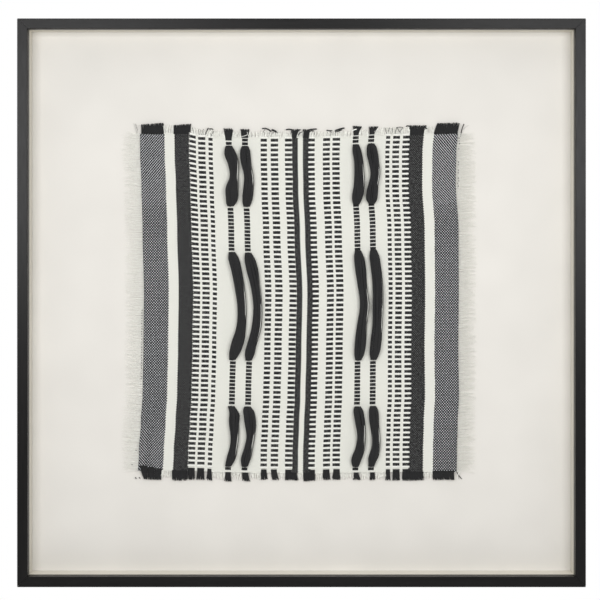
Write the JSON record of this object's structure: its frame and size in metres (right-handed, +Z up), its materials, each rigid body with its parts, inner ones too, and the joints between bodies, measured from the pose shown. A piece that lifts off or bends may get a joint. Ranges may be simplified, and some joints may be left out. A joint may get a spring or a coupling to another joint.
{
  "type": "framed textile: handwoven cloth in a shadow box frame",
  "caption": "Square black shadow box with a cream mount board that holds a raw-edged black and white striped handwoven cloth for display on a wall.",
  "frame": {"origin": "centre of the mount board's flat back face, on the wall plane", "axes": "+X to the viewer's right, +Y into the wall, +Z up; the front faces -Y"},
  "size_m": [0.762, 0.04, 0.762],
  "materials": {
    "frame_wood": "black-stained close-grained wood, satin lacquer",
    "board_paper": "cream cotton-rag paper, matt",
    "striped_cloth": "handwoven cotton, black and white warp stripes, matt",
    "white_yarn": "loose white cotton thread ends, matt",
    "black_yarn": "loose black cotton warp, soft sheen"
  },
  "bodies": {
    "root": {"rail_top": "frame_wood", "rail_bottom": "frame_wood", "rail_left": "frame_wood", "rail_right": "frame_wood", "spacer_top": "board_paper", "spacer_bottom": "board_paper", "spacer_left": "board_paper", "spacer_right": "board_paper", "mount_board": "board_paper", "cloth": "striped_cloth", "fringe_top": "black_yarn", "fringe_bottom": "black_yarn", "fringe_left": "white_yarn", "fringe_right": "white_yarn", "bundle_a_top": "black_yarn", "bundle_b_top": "black_yarn", "bundle_c_top": "black_yarn", "bundle_d_top": "black_yarn", "bundle_a_middle": "black_yarn", "bundle_b_middle": "black_yarn", "bundle_c_middle": "black_yarn", "bundle_d_middle": "black_yarn", "bundle_a_bottom": "black_yarn", "bundle_b_bottom": "black_yarn", "bundle_c_bottom": "black_yarn", "bundle_d_bottom": "black_yarn"}
  },
  "joints": []
}
